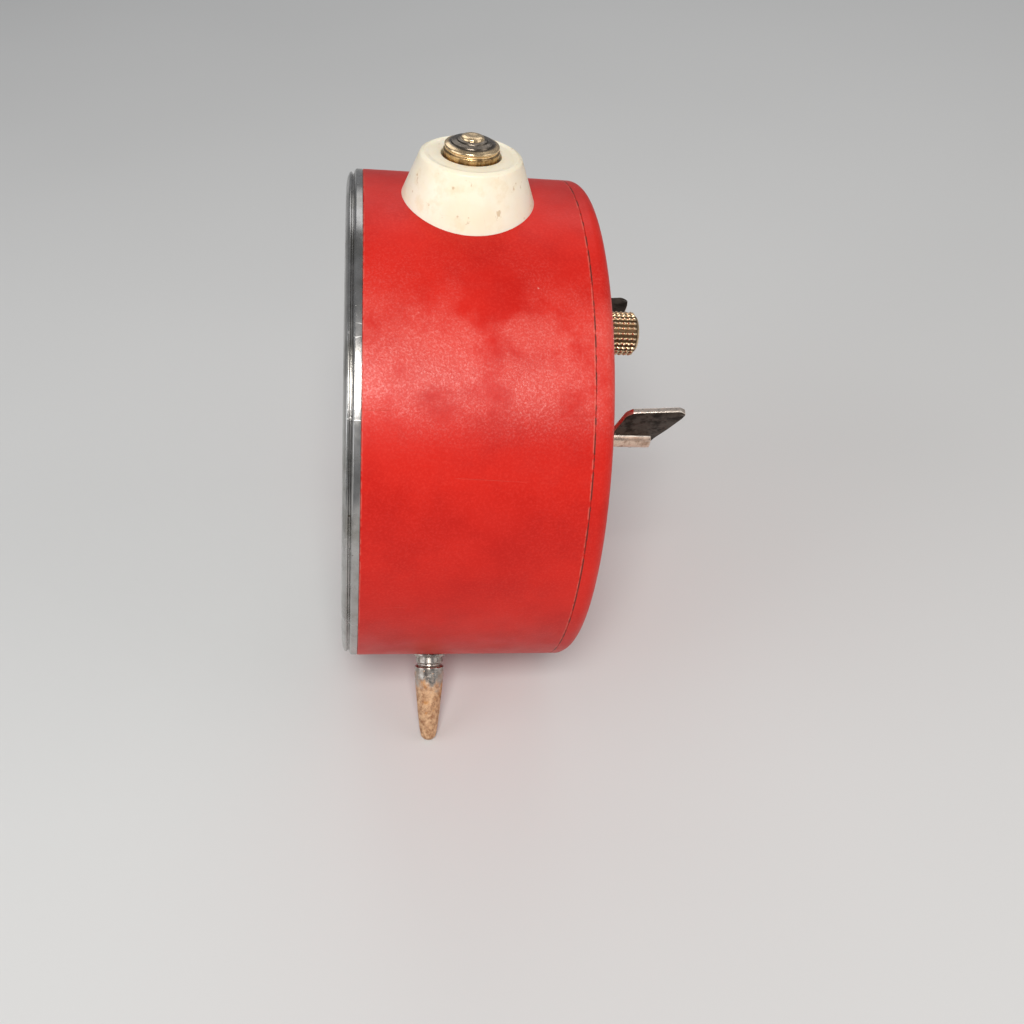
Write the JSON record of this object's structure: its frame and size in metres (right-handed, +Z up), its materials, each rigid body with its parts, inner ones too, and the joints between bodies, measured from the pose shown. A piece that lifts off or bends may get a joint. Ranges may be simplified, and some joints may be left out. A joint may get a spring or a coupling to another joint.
{
  "type": "wind-up alarm clock",
  "caption": "Drum-shaped mechanical alarm clock leaning on two splayed legs, with a stop button on top and winding keys and knobs behind.",
  "frame": {"origin": "centre of the bounding box's bottom face, on the surface that the clock stands on", "axes": "+Z up; -Y is the side that the dial faces; +X is the right-hand side seen from the front"},
  "size_m": [0.1, 0.0738, 0.1141],
  "materials": {
    "case_enamel": "gloss enamel, worn",
    "bezel_chrome": "satin, aged",
    "crystal_glass": "clear",
    "ivory_plastic": "yellowed gloss",
    "button_brass": "aged",
    "spring_steel": "satin",
    "leg_nickel": "plated, pitted",
    "dial_card": "matt printed",
    "plate_brass": "satin",
    "arbor_steel": "polished",
    "hand_black": "satin",
    "alarm_hand_red": "satin",
    "key_nickel": "worn plating",
    "knob_brass": "aged, knurled",
    "bell_steel": "plated"
  },
  "bodies": {
    "root": {"case_band": "case_enamel", "bezel": "bezel_chrome", "crystal": "crystal_glass", "back_cover": "case_enamel", "cover_screws": "spring_steel", "cover_posts": "plate_brass", "button_collar": "ivory_plastic", "leg_left": "leg_nickel", "leg_right": "leg_nickel", "leg_nuts": "spring_steel", "dial": "dial_card", "dial_ring": "dial_card", "front_plate": "plate_brass", "back_plate": "plate_brass", "pillars": "plate_brass", "pillar_nuts": "spring_steel", "time_mainspring": "spring_steel", "alarm_mainspring": "spring_steel", "hairspring": "spring_steel", "bell": "bell_steel", "bell_stud": "arbor_steel", "button_spring": "spring_steel"},
    "stop_button": {"stop_button": "button_brass", "button_stem": "arbor_steel"},
    "stop_lever": {"stop_lever": "spring_steel"},
    "centre": {"centre_arbor": "arbor_steel", "centre_wheel": "plate_brass", "cannon_pinion": "plate_brass", "minute_hand": "hand_black"},
    "hour": {"hour_wheel": "plate_brass", "hour_hand": "hand_black"},
    "minute_wheel": {"minute_wheel": "plate_brass"},
    "time_set": {"time_set_arbor": "arbor_steel", "time_set_knob": "knob_brass"},
    "time_great": {"time_great_wheel": "plate_brass"},
    "time_winding": {"time_winding_arbor": "arbor_steel", "time_key_hub": "key_nickel", "time_key_wing": "key_nickel"},
    "time_click": {"time_click": "arbor_steel"},
    "third": {"third_arbor": "arbor_steel", "third_wheel": "plate_brass"},
    "fourth": {"fourth_arbor": "arbor_steel", "fourth_wheel": "plate_brass"},
    "escape": {"escape_arbor": "arbor_steel", "escape_wheel": "plate_brass"},
    "pallet": {"pallet_fork": "arbor_steel"},
    "balance": {"balance_staff": "arbor_steel", "balance_wheel": "plate_brass"},
    "alarm_great": {"alarm_great_wheel": "plate_brass"},
    "alarm_winding": {"alarm_winding_arbor": "arbor_steel", "alarm_key_hub": "key_nickel", "alarm_key_wing": "key_nickel"},
    "alarm_click": {"alarm_click": "arbor_steel"},
    "alarm_escape": {"alarm_escape_wheel": "plate_brass"},
    "hammer": {"alarm_hammer": "arbor_steel"},
    "alarm_set": {"alarm_set_arbor": "arbor_steel", "alarm_set_knob": "knob_brass"},
    "alarm_dial": {"alarm_wheel": "plate_brass", "alarm_hand": "alarm_hand_red"},
    "regulator": {"regulator_lever": "arbor_steel"}
  },
  "joints": [
    {"name": "stop_button_press", "type": "slide", "parent": "root", "child": "stop_button", "axis": [0, -0.1461, -0.9893], "range_m": [0, 0.0025], "stiffness_N_per_m": 600, "springref_m": -0.002, "deforming": ["button_spring"]},
    {"name": "stop_lever_turn", "type": "hinge", "parent": "root", "child": "stop_lever", "pos_m": [-0.0134, -0.0022, 0.0866], "axis": [0, 0.9893, -0.1461], "range_deg": [0, 10.78]},
    {"name": "hands_turn", "type": "hinge", "parent": "root", "child": "centre", "pos_m": [0, -0.00722, 0.05257], "axis": [0, 0.9893, -0.1461], "continuous": true},
    {"name": "hour_hand_turn", "type": "hinge", "parent": "root", "child": "hour", "pos_m": [0, -0.00722, 0.05257], "axis": [0, 0.9893, -0.1461], "continuous": true},
    {"name": "minute_wheel_turn", "type": "hinge", "parent": "root", "child": "minute_wheel", "pos_m": [0.0025, -0.00551, 0.06418], "axis": [0, 0.9893, -0.1461], "continuous": true},
    {"name": "time_set_knob_turn", "type": "hinge", "parent": "root", "child": "time_set", "pos_m": [0.01, -0.00312, 0.08037], "axis": [0, 0.9893, -0.1461], "continuous": true},
    {"name": "time_great_wheel_turn", "type": "hinge", "parent": "root", "child": "time_great", "pos_m": [0.02, -0.0057, 0.06286], "axis": [0, 0.9893, -0.1461], "continuous": true},
    {"name": "time_key_wind", "type": "hinge", "parent": "time_great", "child": "time_winding", "pos_m": [0.02, -0.0057, 0.06286], "axis": [0, 0.9893, -0.1461], "continuous": true},
    {"name": "time_click_lift", "type": "hinge", "parent": "time_great", "child": "time_click", "pos_m": [0.02, -0.0045, 0.07097], "axis": [0, 0.9893, -0.1461], "range_deg": [-2, 12]},
    {"name": "third_wheel_turn", "type": "hinge", "parent": "root", "child": "third", "pos_m": [0.009, -0.0095, 0.03715], "axis": [0, 0.9893, -0.1461], "continuous": true},
    {"name": "fourth_wheel_turn", "type": "hinge", "parent": "root", "child": "fourth", "pos_m": [-0.00607, -0.00988, 0.03452], "axis": [0, 0.9893, -0.1461], "continuous": true},
    {"name": "escape_wheel_turn", "type": "hinge", "parent": "root", "child": "escape", "pos_m": [-0.01854, -0.00883, 0.04165], "axis": [0, 0.9893, -0.1461], "continuous": true},
    {"name": "pallet_rock", "type": "hinge", "parent": "root", "child": "pallet", "pos_m": [-0.02596, -0.00992, 0.0343], "axis": [0, 0.9893, -0.1461], "range_deg": [-4, 4]},
    {"name": "balance_swing", "type": "hinge", "parent": "root", "child": "balance", "pos_m": [-0.02199, -0.0116, 0.02289], "axis": [0, 0.9893, -0.1461], "range_deg": [-200, 200], "stiffness_Nm_per_rad": 0.00001},
    {"name": "alarm_great_wheel_turn", "type": "hinge", "parent": "root", "child": "alarm_great", "pos_m": [-0.02, -0.0057, 0.06286], "axis": [0, 0.9893, -0.1461], "continuous": true},
    {"name": "alarm_key_wind", "type": "hinge", "parent": "alarm_great", "child": "alarm_winding", "pos_m": [-0.02, -0.0057, 0.06286], "axis": [0, 0.9893, -0.1461], "continuous": true},
    {"name": "alarm_click_lift", "type": "hinge", "parent": "alarm_great", "child": "alarm_click", "pos_m": [-0.02, -0.0045, 0.07097], "axis": [0, 0.9893, -0.1461], "range_deg": [-2, 12]},
    {"name": "alarm_escape_turn", "type": "hinge", "parent": "root", "child": "alarm_escape", "pos_m": [-0.03316, -0.0064, 0.05812], "axis": [0, 0.9893, -0.1461], "continuous": true},
    {"name": "hammer_strike", "type": "hinge", "parent": "root", "child": "hammer", "pos_m": [-0.03569, -0.00742, 0.05124], "axis": [0, 0.9893, -0.1461], "range_deg": [-4, 4]},
    {"name": "alarm_set_knob_turn", "type": "hinge", "parent": "root", "child": "alarm_set", "pos_m": [-0.01, -0.00312, 0.08037], "axis": [0, 0.9893, -0.1461], "continuous": true},
    {"name": "alarm_hand_turn", "type": "hinge", "parent": "root", "child": "alarm_dial", "pos_m": [0, -0.00722, 0.05257], "axis": [0, 0.9893, -0.1461], "continuous": true},
    {"name": "regulator_turn", "type": "hinge", "parent": "root", "child": "regulator", "pos_m": [-0.02199, -0.0116, 0.02289], "axis": [0, 0.9893, -0.1461], "range_deg": [-18, 18]}
  ],
  "couplings": [
    {"joint": "hour_hand_turn", "follows": "hands_turn", "ratio": 0.083333},
    {"joint": "minute_wheel_turn", "follows": "hands_turn", "ratio": -0.33333},
    {"joint": "time_set_knob_turn", "follows": "hands_turn", "ratio": 0.33333},
    {"joint": "time_great_wheel_turn", "follows": "hands_turn", "ratio": -0.2},
    {"joint": "third_wheel_turn", "follows": "hands_turn", "ratio": -8},
    {"joint": "fourth_wheel_turn", "follows": "hands_turn", "ratio": 60},
    {"joint": "escape_wheel_turn", "follows": "hands_turn", "ratio": -480},
    {"joint": "alarm_escape_turn", "follows": "alarm_great_wheel_turn", "ratio": -7.75},
    {"joint": "alarm_hand_turn", "follows": "alarm_set_knob_turn", "ratio": -0.66667},
    {"joint": "stop_lever_turn", "follows": "stop_button_press", "rad_per_m": 73.779}
  ]
}
